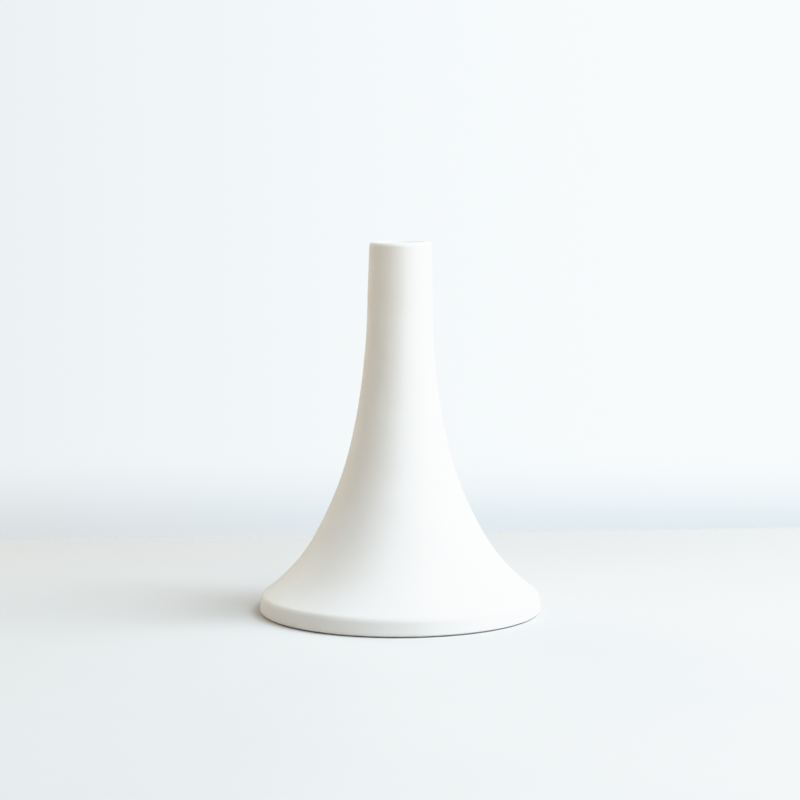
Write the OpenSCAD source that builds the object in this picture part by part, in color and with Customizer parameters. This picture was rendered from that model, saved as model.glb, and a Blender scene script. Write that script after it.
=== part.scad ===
// Ceramic bud vase: a slender open neck that flares into a broad round foot.
// Millimetres, +Z up. The origin is on the vase's axis, on the plane the foot pads rest on.
// Everything is turned about Z, so in the 2D outlines X is the radius and Y is the height.

/* [Overall] */
// Height from the table to the top of the lip
height = 184.2; // [172:0.1:215]
// Widest diameter, just above the bottom edge of the foot band
foot_d = 140.2; // [130:0.2:156]
// Thickness of the clay wall, measured square to the outside
wall = 4.4; // [3.6:0.1:4.8]

/* [Neck] */
// Outside diameter at the foot of the lip
neck_d = 31.1; // [30:0.1:35]
// Length of the straight, slightly tapered stretch below the lip
neck_len = 32.9; // [28:0.1:40]
// Lean of that stretch away from vertical, in degrees
neck_lean = 1.2; // [0.6:0.1:2]
// Radius on the outer edge of the lip
lip_r = 2.2; // [1.2:0.1:2.4]

/* [Flare] */
// Radius of the long curve that leaves the neck
neck_curve_r = 333; // [260:1:380]
// Lean of the wall where the neck curve hands over to the body curve, in degrees
body_lean = 11.2; // [9:0.1:13]
// Lean of the wall where the body curve hands over to the skirt curve, in degrees
skirt_lean = 29.4; // [26:0.1:32]
// Lean of the wall where the skirt curve reaches the shoulder, in degrees
shoulder_lean = 54; // [52:0.5:56]

/* [Foot] */
// Height of the shoulder above the table, where the foot band begins
band_h = 6.7; // [6:0.1:8]
// Lean of the foot band away from vertical, in degrees
band_lean = 6; // [3:0.5:8]
// Radius on the shoulder, between the skirt curve and the foot band
shoulder_r = 4.2; // [2:0.1:5.5]
// Radius on both bottom edges of the foot ring
ring_edge_r = 1.1; // [0.6:0.1:1.2]
// Diameter of the hollow under the foot, inside the foot ring
hollow_d = 122; // [114:1:124]
// Radius where the roof of that hollow meets the foot ring
hollow_r = 1; // [0.5:0.1:1]
// Thickness of the clay floor
floor_t = 5; // [4:0.1:6]
// Radius where the inside wall meets the floor
floor_r = 3.5; // [3:0.5:6]

/* [Glaze] */
// Thickness of the glaze that lines the inside
glaze_t = 0.4; // [0.3:0.05:0.6]

/* [Foot pads] */
// Diameter of each self-adhesive pad
pad_d = 14; // [10:0.5:18]
// Thickness of each pad
pad_t = 3; // [2.8:0.1:3.5]
// How far the pads stand below the foot ring
pad_proud = 0.45; // [0.2:0.05:0.6]
// Distance from the vase's axis to the middle of each pad
pad_orbit = 48; // [36:0.5:52]
// Radius on the bottom edge of each pad
pad_edge_r = 0.7; // [0.3:0.1:1]

/* [Hidden] */
$fn = 180;
pad_count = 4;
first_pad_angle = 45;
// Turn between neighbouring points, in degrees, on the long curves and on the rounded edges.
curve_step = 1.2;
edge_step = 8;
// Width of the level strip left along the top of the lip, between its two rounds.
lip_flat = 0.1;

clay_colour = [0.93, 0.93, 0.92];
glaze_colour = [0.98, 0.98, 0.97];
pad_colour = [0.78, 0.78, 0.76];

// Direction at an angle above the X axis. It is also the direction square to a wall that leans
// outward, going down, by that angle from vertical.
function toward(angle) = [cos(angle), sin(angle)];

// Points along an arc between two directions from its centre. The one named "onward" leaves out
// the first point, for an arc that carries on from the end of another.
function arc_point(centre, r, from, to, part) = centre + r * toward(from + (to - from) * part);
function arc_count(from, to, step) = ceil(abs(to - from) / step);
function arc(centre, r, from, to, step) =
    concat([arc_point(centre, r, from, to, 0)], arc_onward(centre, r, from, to, step));
function arc_onward(centre, r, from, to, step) =
    let (count = arc_count(from, to, step))
    [for (i = [1:count]) arc_point(centre, r, from, to, i / count)];
function reversed(points) = [for (i = [len(points) - 1:-1:0]) points[i]];

// The foot of the lip, and where the straight neck ends and the flare begins.
lip_z = height - lip_r;
flare_z = lip_z - neck_len;
flare_start = [neck_d / 2 + neck_len * tan(neck_lean), flare_z];

// The foot band runs up from the rounded bottom edge to the shoulder radius.
ring_edge = [foot_d / 2 - ring_edge_r, pad_proud + ring_edge_r];
band_foot = ring_edge + ring_edge_r * toward(band_lean);
band_top = [band_foot[0] - (band_h - band_foot[1]) * tan(band_lean), band_h];

// The flare is three arcs, each tangent to the next. The first radius is given. The other two are
// the pair that makes the chain end on the foot band: one equation across and one down.
across_neck = toward(neck_lean) - toward(body_lean);
across_body = toward(body_lean) - toward(skirt_lean);
across_skirt = toward(skirt_lean) - toward(shoulder_lean);
across_shoulder = toward(shoulder_lean) - toward(band_lean);
left = band_top - flare_start - neck_curve_r * across_neck + shoulder_r * across_shoulder;
spread = across_body[0] * across_skirt[1] - across_body[1] * across_skirt[0];
body_curve_r = (left[0] * across_skirt[1] - left[1] * across_skirt[0]) / spread;
skirt_curve_r = (across_body[0] * left[1] - across_body[1] * left[0]) / spread;

// Centres of the three arcs, outside the vase, and of the shoulder radius, inside the clay.
neck_centre = flare_start + neck_curve_r * toward(neck_lean);
body_centre = neck_centre - (neck_curve_r - body_curve_r) * toward(body_lean);
skirt_centre = body_centre - (body_curve_r - skirt_curve_r) * toward(skirt_lean);
shoulder_centre = skirt_centre - (skirt_curve_r + shoulder_r) * toward(shoulder_lean);

// The pads are stuck to the roof of the hollow under the foot, and the clay floor is above it.
roof_z = pad_t;
floor_z = roof_z + floor_t;

// The round that joins the inside wall to the floor is tangent to both.
corner_reach = skirt_curve_r + wall + floor_r;
corner_drop = skirt_centre[1] - floor_z - floor_r;
corner_lean = asin(corner_drop / corner_reach);
corner_centre = skirt_centre - corner_reach * toward(corner_lean);

// Radius of the straight bore up the neck, taken in by the given inset.
function bore_radius(inset) = neck_centre[0] - (neck_curve_r + wall + inset) * cos(neck_lean);

// The inside of the wall, taken in by the given inset: down the flare and in along the floor.
function inside(inset) =
    let (depth = wall + inset)
    concat(
        arc(neck_centre, neck_curve_r + depth, 180 + neck_lean, 180 + body_lean, curve_step),
        arc_onward(body_centre, body_curve_r + depth, 180 + body_lean, 180 + skirt_lean, curve_step),
        arc_onward(skirt_centre, skirt_curve_r + depth, 180 + skirt_lean, 180 + corner_lean, curve_step),
        arc_onward(corner_centre, floor_r - inset, corner_lean, -90, edge_step),
        [[0, floor_z + inset]]
    );

// The outside of the wall, from the bottom edge of the foot ring up to the foot of the lip.
function outside() =
    concat(
        arc(ring_edge, ring_edge_r, -90, band_lean, edge_step),
        arc(shoulder_centre, shoulder_r, band_lean, shoulder_lean, edge_step),
        arc_onward(skirt_centre, skirt_curve_r, 180 + shoulder_lean, 180 + skirt_lean, curve_step),
        arc_onward(body_centre, body_curve_r, 180 + skirt_lean, 180 + body_lean, curve_step),
        arc_onward(neck_centre, neck_curve_r, 180 + body_lean, 180 + neck_lean, curve_step)
    );

// The hollow under the foot: the roof, the corner round and the ring's inner edge.
function underside() =
    concat(
        [[0, roof_z]],
        arc([hollow_d / 2 - hollow_r, roof_z - hollow_r], hollow_r, 90, 0, edge_step),
        arc([hollow_d / 2 + ring_edge_r, ring_edge[1]], ring_edge_r, 180, 270, edge_step)
    );

// The lip is rounded more on the outside. The inner round takes what the outer one leaves.
lip_inner_r = min(lip_r, neck_d / 2 - bore_radius(0) - lip_r - lip_flat);
function lip() =
    concat(
        arc([neck_d / 2 - lip_r, lip_z], lip_r, 0, 90, edge_step),
        arc([bore_radius(0) + lip_inner_r, height - lip_inner_r], lip_inner_r, 90, 180, edge_step)
    );

module vase_body() {
    color(clay_colour)
        rotate_extrude()
            polygon(concat(underside(), outside(), lip(), inside(0)));
}

// The lining stops at the foot of the lip, where the bare clay rounds over.
module glaze_lining() {
    color(glaze_colour)
        rotate_extrude()
            polygon(concat([[bore_radius(0), lip_z]], inside(0),
                           reversed(inside(glaze_t)), [[bore_radius(glaze_t), lip_z]]));
}

module foot_pad(number) {
    edge = [pad_d / 2 - pad_edge_r, pad_edge_r];
    color(pad_colour)
        rotate([0, 0, first_pad_angle + (number - 1) * 360 / pad_count])
            translate([pad_orbit, 0, 0])
                rotate_extrude()
                    polygon(concat([[0, 0]], arc(edge, pad_edge_r, -90, 0, edge_step),
                                   [[pad_d / 2, pad_t], [0, pad_t]]));
}

module foot_pad_1() foot_pad(1);
module foot_pad_2() foot_pad(2);
module foot_pad_3() foot_pad(3);
module foot_pad_4() foot_pad(4);

vase_body();
glaze_lining();
foot_pad_1();
foot_pad_2();
foot_pad_3();
foot_pad_4();
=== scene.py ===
# Ceramic bud vase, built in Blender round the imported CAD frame. Metres, +Z up.
import math

import bpy
from mathutils import Matrix, Vector


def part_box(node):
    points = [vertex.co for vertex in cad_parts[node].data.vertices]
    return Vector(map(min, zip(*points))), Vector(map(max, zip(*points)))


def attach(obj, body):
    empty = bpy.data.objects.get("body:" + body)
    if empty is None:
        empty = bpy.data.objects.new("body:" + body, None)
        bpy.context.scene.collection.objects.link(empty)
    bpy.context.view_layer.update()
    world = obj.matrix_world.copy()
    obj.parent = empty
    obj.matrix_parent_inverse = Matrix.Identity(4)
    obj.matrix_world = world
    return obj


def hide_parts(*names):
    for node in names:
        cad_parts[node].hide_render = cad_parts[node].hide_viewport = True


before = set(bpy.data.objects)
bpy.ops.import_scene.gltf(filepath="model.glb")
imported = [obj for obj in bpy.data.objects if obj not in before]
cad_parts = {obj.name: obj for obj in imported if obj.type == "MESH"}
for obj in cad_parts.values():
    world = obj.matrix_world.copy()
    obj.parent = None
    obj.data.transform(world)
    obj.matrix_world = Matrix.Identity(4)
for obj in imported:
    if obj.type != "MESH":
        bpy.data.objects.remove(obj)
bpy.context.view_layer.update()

MM = 0.001

# ---------------------------------------------------------------------------------------------
# Sizes. Heights and outer sizes come from the CAD nodes, and the rest repeats the CAD design.
# ---------------------------------------------------------------------------------------------
body_low, body_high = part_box("vase_body")
lining_low, lining_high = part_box("glaze_lining")
pad_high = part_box("foot_pad_1")[1]

HEIGHT = body_high.z
FOOT_R = body_high.x
RING_Z = body_low.z
LIP_Z = lining_high.z
FLOOR_Z = lining_low.z
ROOF_Z = pad_high.z
LIP_R = HEIGHT - LIP_Z
LIP_FLAT = 0.1 * MM

WALL = 4.4 * MM
NECK_R = 15.55 * MM
NECK_LENGTH = 32.9 * MM
NECK_LEAN = 1.2
NECK_CURVE_R = 333 * MM
BODY_LEAN = 11.2
SKIRT_LEAN = 29.4
SHOULDER_LEAN = 54
BAND_TOP_Z = 6.7 * MM
BAND_LEAN = 6
SHOULDER_R = 4.2 * MM
RING_EDGE_R = 1.1 * MM
HOLLOW_R = 61 * MM
HOLLOW_CORNER_R = 1 * MM
FLOOR_CORNER_R = 3.5 * MM
GLAZE = 0.4 * MM


# ---------------------------------------------------------------------------------------------
# The section of the vase, as (radius, height) points
# ---------------------------------------------------------------------------------------------
def toward(angle):
    """Direction square to a wall that leans outward, going down, by angle degrees."""
    return Vector((math.cos(math.radians(angle)), math.sin(math.radians(angle))))


def arc(centre, r, start, end, spacing, first=True):
    """Points along an arc, at most spacing apart. first says whether it gives its own start."""
    turn = math.radians(abs(end - start))
    count = max(4, math.ceil(r * turn / spacing))
    steps = range(0 if first else 1, count + 1)
    return [centre + r * toward(start + (end - start) * i / count) for i in steps]


def line(start, end, spacing, first=True, last=True):
    count = max(1, math.ceil((end - start).length / spacing))
    steps = range(0 if first else 1, count + (1 if last else 0))
    return [start.lerp(end, i / count) for i in steps]


flare_start = Vector((NECK_R + NECK_LENGTH * math.tan(math.radians(NECK_LEAN)),
                      LIP_Z - NECK_LENGTH))
ring_edge = Vector((FOOT_R - RING_EDGE_R, RING_Z + RING_EDGE_R))
band_foot = ring_edge + RING_EDGE_R * toward(BAND_LEAN)
band_top = Vector((band_foot.x - (BAND_TOP_Z - band_foot.y) * math.tan(math.radians(BAND_LEAN)),
                   BAND_TOP_Z))

# The flare is three arcs, each tangent to the next, that end on the foot band.
across_neck = toward(NECK_LEAN) - toward(BODY_LEAN)
across_body = toward(BODY_LEAN) - toward(SKIRT_LEAN)
across_skirt = toward(SKIRT_LEAN) - toward(SHOULDER_LEAN)
across_shoulder = toward(SHOULDER_LEAN) - toward(BAND_LEAN)
left_over = band_top - flare_start - NECK_CURVE_R * across_neck + SHOULDER_R * across_shoulder
spread = across_body.x * across_skirt.y - across_body.y * across_skirt.x
BODY_CURVE_R = (left_over.x * across_skirt.y - left_over.y * across_skirt.x) / spread
SKIRT_CURVE_R = (across_body.x * left_over.y - across_body.y * left_over.x) / spread

neck_centre = flare_start + NECK_CURVE_R * toward(NECK_LEAN)
body_centre = neck_centre - (NECK_CURVE_R - BODY_CURVE_R) * toward(BODY_LEAN)
skirt_centre = body_centre - (BODY_CURVE_R - SKIRT_CURVE_R) * toward(SKIRT_LEAN)
shoulder_centre = skirt_centre - (SKIRT_CURVE_R + SHOULDER_R) * toward(SHOULDER_LEAN)

corner_reach = SKIRT_CURVE_R + WALL + FLOOR_CORNER_R
corner_drop = skirt_centre.y - FLOOR_Z - FLOOR_CORNER_R
CORNER_LEAN = math.degrees(math.asin(corner_drop / corner_reach))
corner_centre = skirt_centre - corner_reach * toward(CORNER_LEAN)

LONG_STEP = 1.4 * MM
EDGE_STEP = 0.16 * MM


def bore_radius(inset):
    depth = WALL + inset
    return neck_centre.x - (NECK_CURVE_R + depth) * math.cos(math.radians(NECK_LEAN))


def inside(inset):
    """The inside of the wall, taken in by inset: down the bore and flare, in along the floor."""
    depth = WALL + inset
    flare = arc(neck_centre, NECK_CURVE_R + depth, 180 + NECK_LEAN, 180 + BODY_LEAN, LONG_STEP)
    bore_top = Vector((bore_radius(inset), LIP_Z))
    floor = Vector((corner_centre.x, FLOOR_Z + inset))
    return (
        line(bore_top, flare[0], LONG_STEP, last=False)
        + flare
        + arc(body_centre, BODY_CURVE_R + depth, 180 + BODY_LEAN, 180 + SKIRT_LEAN,
              LONG_STEP, first=False)
        + arc(skirt_centre, SKIRT_CURVE_R + depth, 180 + SKIRT_LEAN, 180 + CORNER_LEAN,
              LONG_STEP, first=False)
        + arc(corner_centre, FLOOR_CORNER_R - inset, CORNER_LEAN, -90, 4 * EDGE_STEP, first=False)
        + line(floor, Vector((0, FLOOR_Z + inset)), 4 * LONG_STEP, first=False)
    )


def body_section():
    hollow = Vector((HOLLOW_R - HOLLOW_CORNER_R, ROOF_Z - HOLLOW_CORNER_R))
    inner_edge = Vector((HOLLOW_R + RING_EDGE_R, ring_edge.y))
    lip_outer = Vector((NECK_R - LIP_R, LIP_Z))
    inner_r = min(LIP_R, NECK_R - bore_radius(0) - LIP_R - LIP_FLAT)
    lip_inner = Vector((bore_radius(0) + inner_r, HEIGHT - inner_r))
    underside = (
        line(Vector((0, ROOF_Z)), Vector((hollow.x, ROOF_Z)), 4 * LONG_STEP, last=False)
        + arc(hollow, HOLLOW_CORNER_R, 90, 0, EDGE_STEP)
        + arc(inner_edge, RING_EDGE_R, 180, 270, EDGE_STEP)
    )
    ring = line(underside[-1], Vector((ring_edge.x, RING_Z)), LONG_STEP, first=False, last=False)
    edge = arc(ring_edge, RING_EDGE_R, -90, BAND_LEAN, EDGE_STEP)
    shoulder = arc(shoulder_centre, SHOULDER_R, BAND_LEAN, SHOULDER_LEAN, EDGE_STEP)
    band = line(edge[-1], shoulder[0], 0.5 * LONG_STEP, first=False, last=False)
    flare = (
        arc(skirt_centre, SKIRT_CURVE_R, 180 + SHOULDER_LEAN, 180 + SKIRT_LEAN,
            LONG_STEP, first=False)
        + arc(body_centre, BODY_CURVE_R, 180 + SKIRT_LEAN, 180 + BODY_LEAN,
              LONG_STEP, first=False)
        + arc(neck_centre, NECK_CURVE_R, 180 + BODY_LEAN, 180 + NECK_LEAN,
              LONG_STEP, first=False)
    )
    neck = line(flare_start, Vector((NECK_R, LIP_Z)), LONG_STEP, first=False, last=False)
    lip = arc(lip_outer, LIP_R, 0, 90, EDGE_STEP) + arc(lip_inner, inner_r, 90, 180, EDGE_STEP)
    return underside + ring + edge + band + shoulder + flare + neck + lip + inside(0)


def lining_section():
    """The glaze: its back on the clay, then a rounded top edge, then its face."""
    back = list(reversed(inside(0)))
    face = inside(GLAZE)
    top = arc(Vector((bore_radius(GLAZE / 2), LIP_Z - GLAZE / 2)), GLAZE / 2, 0, 180, GLAZE / 8)
    back[-1] = Vector((bore_radius(0), LIP_Z - GLAZE / 2))
    face[0] = Vector((bore_radius(GLAZE), LIP_Z - GLAZE / 2))
    return back + top[1:-1] + face


# ---------------------------------------------------------------------------------------------
# Turning a section into a mesh
# ---------------------------------------------------------------------------------------------
# How far the top stands to one side of the foot, and the middle bows to the other.
LEAN = 0.65 * MM
BOW = -0.64 * MM
# The irregularities fade in over this stretch above the foot, which stays true and round.
FREE_FROM_Z = 9 * MM
FREE_OVER = 30 * MM


def by_hand(point):
    """The small irregularities of a cast and hand-finished vase. They fade out at the foot.

    The same shift is given to the clay and its glaze, so the two stay in contact.
    """
    x, y, z = point
    free = min(1, max(0, (z - FREE_FROM_Z) / FREE_OVER))
    free = free * free * (3 - 2 * free)
    angle = math.atan2(y, x)
    bow = LEAN * z / HEIGHT + BOW * math.sin(math.pi * z / HEIGHT)
    swell = (
        0.035 * MM * math.sin(2 * math.pi * z / (37 * MM) + 1.7 * math.sin(angle + 0.4))
        + 0.022 * MM * math.sin(2 * math.pi * z / (17 * MM) + 2.3 * math.cos(angle - 1.1))
        + 0.050 * MM * math.sin(2 * angle)
    )
    radius = math.hypot(x, y)
    if radius < 1e-9:
        return Vector((x + bow * free, y, z))
    grow = 1 + free * swell / max(radius, 10 * MM)
    return Vector((x * grow + bow * free, y * grow, z))


def turned(name, section, segments, shape=None):
    """A closed mesh from a section whose two ends lie on the axis, with a UV map."""
    verts, rings = [], []
    for radius, height in section:
        if radius < 1e-7:
            rings.append([len(verts)])
            verts.append(Vector((0, 0, height)))
            continue
        rings.append(list(range(len(verts), len(verts) + segments)))
        for i in range(segments):
            angle = 2 * math.pi * i / segments
            verts.append(Vector((radius * math.cos(angle), radius * math.sin(angle), height)))
    faces = []
    for low, high in zip(rings, rings[1:]):
        for i in range(segments):
            j = (i + 1) % segments
            if len(low) == 1:
                faces.append((low[0], high[j], high[i]))
            elif len(high) == 1:
                faces.append((low[i], low[j], high[0]))
            else:
                faces.append((low[i], low[j], high[j], high[i]))
    along = [0.0]
    for a, b in zip(section, section[1:]):
        along.append(along[-1] + (Vector(b) - Vector(a)).length)
    ring_of = {v: n for n, ring in enumerate(rings) for v in ring}
    mesh = bpy.data.meshes.new(name)
    mesh.from_pydata([shape(v) if shape else v for v in verts], [], faces)
    uv = mesh.uv_layers.new(name="turned")
    for n, face in enumerate(mesh.polygons):
        i = n % segments
        for loop in face.loop_indices:
            v = mesh.loops[loop].vertex_index
            ring = rings[ring_of[v]]
            turn = i + 0.5 if len(ring) == 1 else v - ring[0]
            if len(ring) > 1 and i == segments - 1 and turn == 0:
                turn = segments
            uv.data[loop].uv = (turn / segments, along[ring_of[v]] / along[-1])
        face.use_smooth = True
    mesh.update()
    obj = bpy.data.objects.new(name, mesh)
    bpy.context.scene.collection.objects.link(obj)
    return obj


def outward(obj):
    """Turns the faces to point out of the solid, whichever way its section ran."""
    volume = 0.0
    for face in obj.data.polygons:
        a, b, c = (obj.data.vertices[face.vertices[i]].co for i in (0, 1, 2))
        volume += a.dot(b.cross(c))
        if len(face.vertices) == 4:
            d = obj.data.vertices[face.vertices[3]].co
            volume += a.dot(c.cross(d))
    if volume < 0:
        obj.data.flip_normals()
    return obj


# ---------------------------------------------------------------------------------------------
# Materials
# ---------------------------------------------------------------------------------------------
class Nodes:
    """A material's node tree, with short calls for the nodes used here."""

    def __init__(self, name):
        self.material = bpy.data.materials.new(name)
        self.material.use_nodes = True
        self.tree = self.material.node_tree
        self.tree.nodes.clear()
        self.output = self.add("ShaderNodeOutputMaterial")
        self.shader = self.add("ShaderNodeBsdfPrincipled")
        self.link(self.shader.outputs["BSDF"], self.output.inputs["Surface"])
        self.place = self.add("ShaderNodeTexCoord").outputs["Object"]

    def add(self, kind, **values):
        node = self.tree.nodes.new(kind)
        for key, value in values.items():
            setattr(node, key, value)
        return node

    def link(self, out, into):
        self.tree.links.new(out, into)

    def feed(self, value, socket):
        if isinstance(value, bpy.types.NodeSocket):
            self.link(value, socket)
        else:
            socket.default_value = value

    def maths(self, operation, *values, clamp=False):
        node = self.add("ShaderNodeMath", operation=operation, use_clamp=clamp)
        for value, socket in zip(values, node.inputs):
            self.feed(value, socket)
        return node.outputs[0]

    def scaled(self, per_metre):
        """The place on the object, stretched by per_metre along each axis."""
        node = self.add("ShaderNodeVectorMath", operation="MULTIPLY")
        self.link(self.place, node.inputs[0])
        node.inputs[1].default_value = per_metre
        return node.outputs[0]

    def noise(self, size, detail=2.0, rough=0.5, stretch=(1, 1, 1)):
        """Noise from 0 to 1 whose features are about size metres across."""
        node = self.add("ShaderNodeTexNoise")
        self.link(self.scaled(tuple(s / size for s in stretch)), node.inputs["Vector"])
        node.inputs["Scale"].default_value = 1.0
        node.inputs["Detail"].default_value = detail
        node.inputs["Roughness"].default_value = rough
        return node.outputs["Fac"]

    def ramp(self, value, low, high, to_low=0.0, to_high=1.0):
        node = self.add("ShaderNodeMapRange", interpolation_type="SMOOTHSTEP")
        for number, key in ((low, "From Min"), (high, "From Max"),
                            (to_low, "To Min"), (to_high, "To Max")):
            node.inputs[key].default_value = number
        self.link(value, node.inputs["Value"])
        return node.outputs["Result"]

    def blend(self, factor, a, b):
        node = self.add("ShaderNodeMix", data_type="RGBA")
        for value, key in ((factor, 0), (a, 6), (b, 7)):
            self.feed(value, node.inputs[key])
        return node.outputs[2]

    def height(self, *layers):
        """Adds up (noise, depth in metres) layers into one height in metres."""
        total = None
        for value, depth in layers:
            part = self.maths("MULTIPLY", value, depth)
            total = part if total is None else self.maths("ADD", total, part)
        return total

    def bump(self, height):
        node = self.add("ShaderNodeBump")
        node.inputs["Strength"].default_value = 1.0
        node.inputs["Distance"].default_value = 1.0
        self.link(height, node.inputs["Height"])
        return node.outputs["Normal"]

    def set(self, **values):
        for key, value in values.items():
            self.feed(value, self.shader.inputs[key.replace("_", " ")])


def split(nodes, vector):
    node = nodes.add("ShaderNodeSeparateXYZ")
    nodes.link(vector, node.inputs[0])
    return node.outputs


CLAY = (0.845, 0.842, 0.832, 1)
CLAY_WARM = (0.815, 0.805, 0.785, 1)
CLAY_BARE = (0.72, 0.70, 0.66, 1)


def clay_material():
    """Smooth matt white clay: fine tooth, faint sponge marks going round, a bare foot ring."""
    n = Nodes("clay")
    z = split(n, n.place)[2]
    facing = split(n, n.add("ShaderNodeNewGeometry").outputs["Normal"])[2]
    under = n.maths("MULTIPLY", n.ramp(facing, -0.35, -0.85), n.ramp(z, 5 * MM, 2 * MM))

    tooth = n.noise(0.35 * MM, detail=3, rough=0.6)
    peel = n.noise(2.6 * MM, detail=2)
    sponge = n.noise(16 * MM, detail=3, rough=0.65, stretch=(1, 1, 18))
    cloud = n.noise(34 * MM, detail=3)
    pits = n.ramp(n.noise(1.1 * MM, detail=0), 0.24, 0.19)

    colour = n.blend(n.ramp(cloud, 0.35, 0.7, 0.0, 0.55), CLAY, CLAY_WARM)
    colour = n.blend(n.maths("MULTIPLY", pits, 0.10), colour, CLAY_BARE)
    colour = n.blend(n.ramp(tooth, 0.45, 0.8, 0.0, 0.10), colour, CLAY_WARM)
    colour = n.blend(n.maths("MULTIPLY", under, 0.7), colour, CLAY_BARE)
    rough = n.maths("ADD", n.ramp(peel, 0.3, 0.7, 0.60, 0.68), n.ramp(tooth, 0.3, 0.7, -0.03, 0.03))
    rough = n.maths("ADD", rough, n.maths("MULTIPLY", under, 0.15), clamp=True)
    relief = n.height((tooth, 0.010 * MM), (peel, 0.014 * MM), (sponge, 0.018 * MM),
                      (pits, -0.012 * MM), (n.maths("MULTIPLY", under, tooth), 0.030 * MM))
    n.set(Base_Color=colour, Roughness=rough, Normal=n.bump(relief))
    n.set(Diffuse_Roughness=0.35, Specular_IOR_Level=0.32, IOR=1.5)
    return n.material


def glaze_material():
    """Clear gloss glaze over the white clay, a little creamier where it lies thick."""
    n = Nodes("glaze")
    z = split(n, n.place)[2]
    ripple = n.noise(5 * MM, detail=1)
    orange = n.noise(1.2 * MM, detail=1)
    pinholes = n.ramp(n.noise(0.9 * MM, detail=0), 0.22, 0.18)
    deep = n.ramp(z, 40 * MM, 9 * MM)
    colour = n.blend(deep, (0.83, 0.825, 0.81, 1), (0.78, 0.765, 0.72, 1))
    colour = n.blend(n.ramp(ripple, 0.3, 0.7, 0.0, 0.3), colour, (0.80, 0.79, 0.76, 1))
    relief = n.height((ripple, 0.030 * MM), (orange, 0.005 * MM), (pinholes, -0.020 * MM))
    n.set(Base_Color=colour, Roughness=n.ramp(orange, 0.3, 0.7, 0.10, 0.16),
          Normal=n.bump(relief))
    n.set(IOR=1.5, Coat_Weight=0.6, Coat_Roughness=0.05)
    return n.material


def rubber_material():
    """Frosted self-adhesive bumper: milky, with a fine moulded tooth and a little dust."""
    n = Nodes("pad_rubber")
    z = split(n, n.place)[2]
    tooth = n.noise(0.25 * MM, detail=2)
    dust = n.noise(1.6 * MM, detail=3, rough=0.7)
    colour = n.blend(n.ramp(dust, 0.5, 0.75, 0.0, 0.5), (0.60, 0.60, 0.58, 1),
                     (0.44, 0.43, 0.40, 1))
    # Darker towards the face that stands on the table.
    colour = n.blend(n.ramp(z, 0.5 * MM, 0.0, 0.0, 0.35), colour, (0.40, 0.39, 0.37, 1))
    n.set(Base_Color=colour, Roughness=n.ramp(dust, 0.3, 0.7, 0.50, 0.70),
          Normal=n.bump(n.height((tooth, 0.012 * MM), (dust, 0.010 * MM))))
    n.set(IOR=1.42, Subsurface_Weight=0.15, Subsurface_Scale=1.5 * MM)
    return n.material


# ---------------------------------------------------------------------------------------------
# The pieces
# ---------------------------------------------------------------------------------------------
def piece(obj, node, material):
    outward(obj)
    obj.data.materials.append(material)
    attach(obj, "root")
    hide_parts(node)
    return obj


# Steps round each piece. The shell's count keeps its mesh under the STL export's face limit.
SHELL_SEGMENTS = 240
GLAZE_SEGMENTS = 160
PAD_SEGMENTS = 64

piece(turned("vase_shell", body_section(), SHELL_SEGMENTS, by_hand), "vase_body",
      clay_material())
piece(turned("inner_glaze", lining_section(), GLAZE_SEGMENTS, by_hand), "glaze_lining",
      glaze_material())


def pad_section(radius, height):
    """A bumper with a rounded rim and a faintly dished face, so that it grips the table."""
    rim = 0.7 * MM
    dish = 0.05 * MM
    face = [Vector((r, dish * (1 - (r / (radius - rim)) ** 2)))
            for r in (i * (radius - rim) / 6 for i in range(6))]
    lower = arc(Vector((radius - rim, rim)), rim, -90, 0, 0.12 * MM)
    upper = arc(Vector((radius - rim / 4, height - rim / 4)), rim / 4, 0, 90, 0.06 * MM)
    back = line(upper[-1], Vector((0, height)), radius / 3, first=False)
    return face + lower + upper + back


rubber = rubber_material()
for node in sorted(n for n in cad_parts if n.startswith("foot_pad_")):
    low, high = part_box(node)
    middle = (low + high) / 2
    radius, height = (high.x - low.x) / 2, high.z - low.z
    pad = turned("rubber_" + node, pad_section(radius, height), PAD_SEGMENTS)
    pad.data.transform(Matrix.Translation((middle.x, middle.y, low.z)))
    piece(pad, node, rubber)


# ---------------------------------------------------------------------------------------------
# Stage: a patch of pale table, and far round it a shell that only the camera sees. The
# shell is table coloured low down and wall coloured above, so every side has the same backdrop.
# The shell glows with painted window light, brighter on the right, and painted shade low on the
# wall.
# ---------------------------------------------------------------------------------------------
TABLE_R = 0.62
TABLE_BACK = 0.2365
TABLE_BACK_SLANT = 0.0789
TABLE_BACK_SOFT = 0.007
SHELL_R = 6.0
SHELL_LINE_Z = -0.97
SHELL_LINE_SOFT = 0.015
# Painted window light on the backdrop: the left colours are dimmer and the right colours brighter.
TABLE_LEFT_PAINTED_DIM = (0.790, 0.825, 0.835, 1)
TABLE_RIGHT_PAINTED_LIT = (0.970, 1.040, 1.090, 1)
WALL_LEFT_PAINTED_DIM = (0.838, 0.885, 0.905, 1)
WALL_RIGHT_PAINTED_LIT = (1.010, 1.150, 1.230, 1)


def stage_mesh(name, verts, faces, material):
    mesh = bpy.data.meshes.new(name)
    mesh.from_pydata(verts, [], faces)
    mesh.materials.append(material)
    obj = bpy.data.objects.new(name, mesh)
    bpy.context.scene.collection.objects.link(obj)
    return obj


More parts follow.
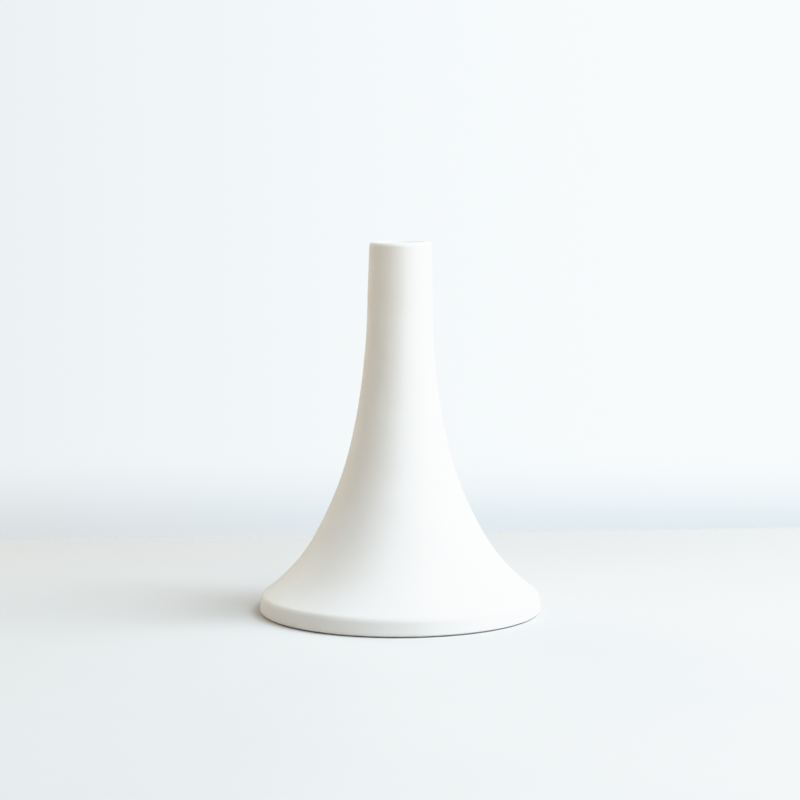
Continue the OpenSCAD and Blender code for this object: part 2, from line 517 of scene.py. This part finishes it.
def table_top():
    """A pale table top with soft edges, and painted shade towards the back. Its back edge is where
    the wall begins.
    """
    n = Nodes("table_top")
    place = split(n, n.place)
    x, y = place[0], place[1]
    grain = n.noise(1.5 * MM, detail=3)
    cloud = n.noise(120 * MM, detail=3)
    colour = n.blend(n.ramp(cloud, 0.3, 0.7), (0.656, 0.655, 0.650, 1), (0.671, 0.670, 0.665, 1))
    # Darker and warmer towards the back: painted shade where the table runs up to the wall.
    colour = n.blend(n.ramp(y, 0.02, 0.20), colour, (0.643, 0.630, 0.616, 1))
    n.set(Base_Color=colour, Roughness=0.7, Normal=n.bump(n.height((grain, 0.01 * MM))))
    n.set(Specular_IOR_Level=0.2)
    past_back = n.maths("SUBTRACT", y, n.maths("MULTIPLY", x, TABLE_BACK_SLANT))
    back = n.ramp(past_back, TABLE_BACK - TABLE_BACK_SOFT, TABLE_BACK + TABLE_BACK_SOFT)
    out = n.maths("SQRT", n.maths("ADD", n.maths("MULTIPLY", x, x), n.maths("MULTIPLY", y, y)))
    rim = n.ramp(out, 0.7 * TABLE_R, 0.98 * TABLE_R)
    mix = n.add("ShaderNodeMixShader")
    n.link(n.maths("MAXIMUM", back, rim), mix.inputs[0])
    n.link(n.shader.outputs[0], mix.inputs[1])
    n.link(n.add("ShaderNodeBsdfTransparent").outputs[0], mix.inputs[2])
    n.link(mix.outputs[0], n.output.inputs["Surface"])
    count = 96
    ring = [(TABLE_R * math.cos(2 * math.pi * i / count),
             TABLE_R * math.sin(2 * math.pi * i / count), 0) for i in range(count)]
    return stage_mesh("table_top", ring, [tuple(range(count))], n.material)


def backdrop():
    n = Nodes("backdrop")
    place = split(n, n.place)
    x, z = place[0], place[2]
    # Brighter towards the right: painted light from the window on the table and the wall.
    table = n.blend(n.ramp(x, -1.3, 1.3), TABLE_LEFT_PAINTED_DIM, TABLE_RIGHT_PAINTED_LIT)
    wall = n.blend(n.ramp(x, -1.6, 0.9), WALL_LEFT_PAINTED_DIM, WALL_RIGHT_PAINTED_LIT)
    # Painted shade on the wall just above the table, deeper on the right.
    shade = n.ramp(z, SHELL_LINE_Z + 0.045, SHELL_LINE_Z + 0.305, 1.0, 0.0)
    shade = n.maths("MULTIPLY", shade, n.ramp(x, -1.3, 1.3, 0.19, 0.28))
    wall = n.blend(shade, wall, (0.04, 0.0, 0.0, 1))
    edge = n.ramp(z, SHELL_LINE_Z - SHELL_LINE_SOFT, SHELL_LINE_Z + SHELL_LINE_SOFT)
    colour = n.blend(edge, table, wall)
    glow = n.add("ShaderNodeEmission")
    n.link(colour, glow.inputs["Color"])
    n.link(glow.outputs[0], n.output.inputs["Surface"])
    turns, bands = 96, 48
    verts = [(SHELL_R * math.sin(math.pi * j / bands) * math.cos(2 * math.pi * i / turns),
              SHELL_R * math.sin(math.pi * j / bands) * math.sin(2 * math.pi * i / turns),
              SHELL_R * math.cos(math.pi * j / bands))
             for j in range(1, bands) for i in range(turns)]
    faces = [(j * turns + i, j * turns + (i + 1) % turns,
              (j + 1) * turns + (i + 1) % turns, (j + 1) * turns + i)
             for j in range(bands - 2) for i in range(turns)]
    obj = stage_mesh("backdrop", verts, faces, n.material)
    for ray in ("diffuse", "glossy", "transmission", "volume_scatter", "shadow"):
        setattr(obj, "visible_" + ray, False)
    return obj


table_top()
backdrop()

# ---------------------------------------------------------------------------------------------
# Lights: a broad cool window on the right, and warm light off the room and the table
# ---------------------------------------------------------------------------------------------
LIGHT_DISTANCE = 1.5
LIGHT_SIZE = 1.0
LIGHT_AIM = Vector((0, 0, 0.08))
COOL = (0.86, 1.0, 1.12)
NEUTRAL = (1.04, 1.0, 0.90)


def soft_light(name, azimuth, elevation, power, colour):
    """A round area light. Azimuth 0 is on the vase's right and 90 is behind it."""
    a, e = math.radians(azimuth), math.radians(elevation)
    way = Vector((math.cos(a) * math.cos(e), math.sin(a) * math.cos(e), math.sin(e)))
    data = bpy.data.lights.new(name, "AREA")
    data.shape = "DISK"
    data.size = LIGHT_SIZE
    data.energy = power
    data.color = colour
    obj = bpy.data.objects.new(name, data)
    obj.location = LIGHT_AIM + LIGHT_DISTANCE * way
    obj.rotation_euler = (-way).to_track_quat("-Z", "Y").to_euler()
    bpy.context.scene.collection.objects.link(obj)
    return obj


soft_light("window_high", -5, 50, 19.8, COOL)
soft_light("window_near", -45, 50, 10.2, COOL)
soft_light("window_low", -12, 18, 6.6, COOL)
soft_light("room_behind_left", 135, 18, 7.0, NEUTRAL)

# The glow of the room: warm off the floor and the walls, and more neutral overhead.
FLOOR_GLOW = (0.788, 0.659, 0.476, 1)
WALL_GLOW = (0.427, 0.331, 0.206, 1)
CEILING_GLOW = (0.330, 0.325, 0.300, 1)


def room_glow():
    world = bpy.data.worlds.new("studio")
    world.use_nodes = True
    tree = world.node_tree
    way = tree.nodes.new("ShaderNodeTexCoord").outputs["Generated"]
    parts = tree.nodes.new("ShaderNodeSeparateXYZ")
    tree.links.new(way, parts.inputs[0])
    colour = None
    for low, high, below, above in ((-0.03, 0.03, FLOOR_GLOW, WALL_GLOW),
                                    (0.2, 0.9, WALL_GLOW, CEILING_GLOW)):
        level = tree.nodes.new("ShaderNodeMapRange")
        level.inputs["From Min"].default_value = low
        level.inputs["From Max"].default_value = high
        tree.links.new(parts.outputs[2], level.inputs["Value"])
        mix = tree.nodes.new("ShaderNodeMix")
        mix.data_type = "RGBA"
        mix.inputs[6].default_value = below
        mix.inputs[7].default_value = above
        tree.links.new(level.outputs["Result"], mix.inputs[0])
        if colour:
            tree.links.new(colour, mix.inputs[6])
        colour = mix.outputs[2]
    tree.links.new(colour, tree.nodes["Background"].inputs["Color"])
    bpy.context.scene.world = world


room_glow()

# ---------------------------------------------------------------------------------------------
# Camera, and a soft shoulder on the highlights so that the lit side keeps its shape
# ---------------------------------------------------------------------------------------------
SENSOR_WIDTH_MM = 36
LENS_MM = 105.8
CAMERA_PLACE = (0.46 * MM, -1160.5 * MM, 227.6 * MM)
LOOK_DOWN = 5.998
CAMERA_ROLL = 0.0025

# Light up to KNEE is shown as it is. Above that it eases towards KNEE + ROOM.
KNEE = 0.80
ROOM = 0.19
BRIGHTEST = 3.0


def viewing_camera():
    camera = bpy.data.cameras.new("camera")
    camera.sensor_width = SENSOR_WIDTH_MM
    camera.lens = LENS_MM
    obj = bpy.data.objects.new("camera", camera)
    obj.location = CAMERA_PLACE
    obj.rotation_euler = (math.radians(90 - LOOK_DOWN), CAMERA_ROLL, 0)
    bpy.context.scene.collection.objects.link(obj)
    bpy.context.scene.camera = obj


def soft_highlights():
    view = bpy.context.scene.view_settings
    view.view_transform = "Standard"
    view.look = "None"
    view.use_curve_mapping = True
    view.curve_mapping.clip_max_x = BRIGHTEST
    tone = view.curve_mapping.curves[3]
    tone.points[0].location = (0, 0)
    tone.points[1].location = (BRIGHTEST, KNEE + ROOM)
    for light in (0.4, KNEE, 0.9, 1.0, 1.1, 1.25, 1.5, 2.0):
        over = max(0, light - KNEE)
        tone.points.new(light, min(light, KNEE) + ROOM * (1 - math.exp(-over / ROOM)))
    view.curve_mapping.update()


viewing_camera()
soft_highlights()
